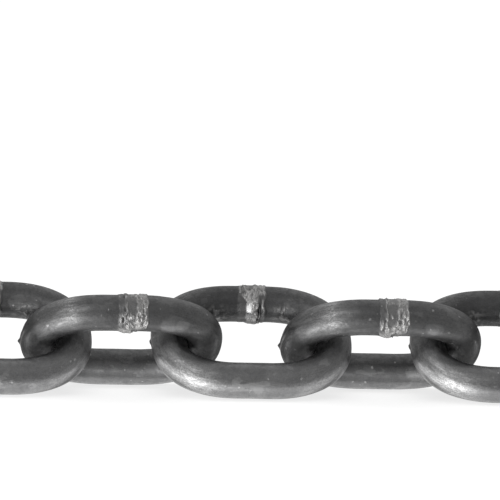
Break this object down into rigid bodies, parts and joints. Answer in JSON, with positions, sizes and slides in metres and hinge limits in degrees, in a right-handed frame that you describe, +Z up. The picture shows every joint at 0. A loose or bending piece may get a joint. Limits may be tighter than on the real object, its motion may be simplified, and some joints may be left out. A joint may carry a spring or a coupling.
{
  "type": "welded steel chain",
  "caption": "Straight length of uncoated welded steel chain with short oval links, fastened by a shackle or hook through its end links.",
  "frame": {"origin": "on the floor, under the middle of the chain's length", "axes": "+X along the chain from link_01 to link_12, +Z up, links leaning 45 degrees to -Y and +Y in turn"},
  "size_m": [0.3186, 0.0202, 0.0199],
  "materials": {
    "self_coloured_steel": "uncoated dark mill scale, satin, with bright burnished spots and rough silvery butt welds"
  },
  "bodies": {
    "link_01": {"link_01": "self_coloured_steel"},
    "link_02": {"link_02": "self_coloured_steel"},
    "link_03": {"link_03": "self_coloured_steel"},
    "link_04": {"link_04": "self_coloured_steel"},
    "link_05": {"link_05": "self_coloured_steel"},
    "link_06": {"link_06": "self_coloured_steel"},
    "link_07": {"link_07": "self_coloured_steel"},
    "link_08": {"link_08": "self_coloured_steel"},
    "link_09": {"link_09": "self_coloured_steel"},
    "link_10": {"link_10": "self_coloured_steel"},
    "link_11": {"link_11": "self_coloured_steel"},
    "link_12": {"link_12": "self_coloured_steel"}
  },
  "joints": [
    {"name": "link_01_swing", "type": "hinge", "parent": "link_02", "child": "link_01", "pos_m": [-0.13054, 0, 0.00982], "axis": [0, -0.7071, -0.7071], "range_deg": [-90, 90]},
    {"name": "link_02_swing", "type": "hinge", "parent": "link_03", "child": "link_02", "pos_m": [-0.10515, 0, 0.00982], "axis": [0, -0.7071, 0.7071], "range_deg": [-90, 90]},
    {"name": "link_03_swing", "type": "hinge", "parent": "link_04", "child": "link_03", "pos_m": [-0.07974, 0, 0.00982], "axis": [0, 0.7071, 0.7071], "range_deg": [-90, 90]},
    {"name": "link_04_swing", "type": "hinge", "parent": "link_05", "child": "link_04", "pos_m": [-0.05434, 0, 0.00982], "axis": [0, 0.7071, -0.7071], "range_deg": [-90, 90]},
    {"name": "link_05_swing", "type": "hinge", "parent": "link_06", "child": "link_05", "pos_m": [-0.02894, 0, 0.00982], "axis": [0, -0.7071, -0.7071], "range_deg": [-90, 90]},
    {"name": "link_07_swing", "type": "hinge", "parent": "link_06", "child": "link_07", "pos_m": [0.00354, 0, 0.00982], "axis": [0, 0.7071, 0.7071], "range_deg": [-90, 90]},
    {"name": "link_08_swing", "type": "hinge", "parent": "link_07", "child": "link_08", "pos_m": [0.02894, 0, 0.00982], "axis": [0, -0.7071, 0.7071], "range_deg": [-90, 90]},
    {"name": "link_09_swing", "type": "hinge", "parent": "link_08", "child": "link_09", "pos_m": [0.05434, 0, 0.00982], "axis": [0, -0.7071, -0.7071], "range_deg": [-90, 90]},
    {"name": "link_10_swing", "type": "hinge", "parent": "link_09", "child": "link_10", "pos_m": [0.07974, 0, 0.00982], "axis": [0, 0.7071, -0.7071], "range_deg": [-90, 90]},
    {"name": "link_11_swing", "type": "hinge", "parent": "link_10", "child": "link_11", "pos_m": [0.10515, 0, 0.00982], "axis": [0, 0.7071, 0.7071], "range_deg": [-90, 90]},
    {"name": "link_12_swing", "type": "hinge", "parent": "link_11", "child": "link_12", "pos_m": [0.13054, 0, 0.00982], "axis": [0, -0.7071, 0.7071], "range_deg": [-90, 90]}
  ]
}
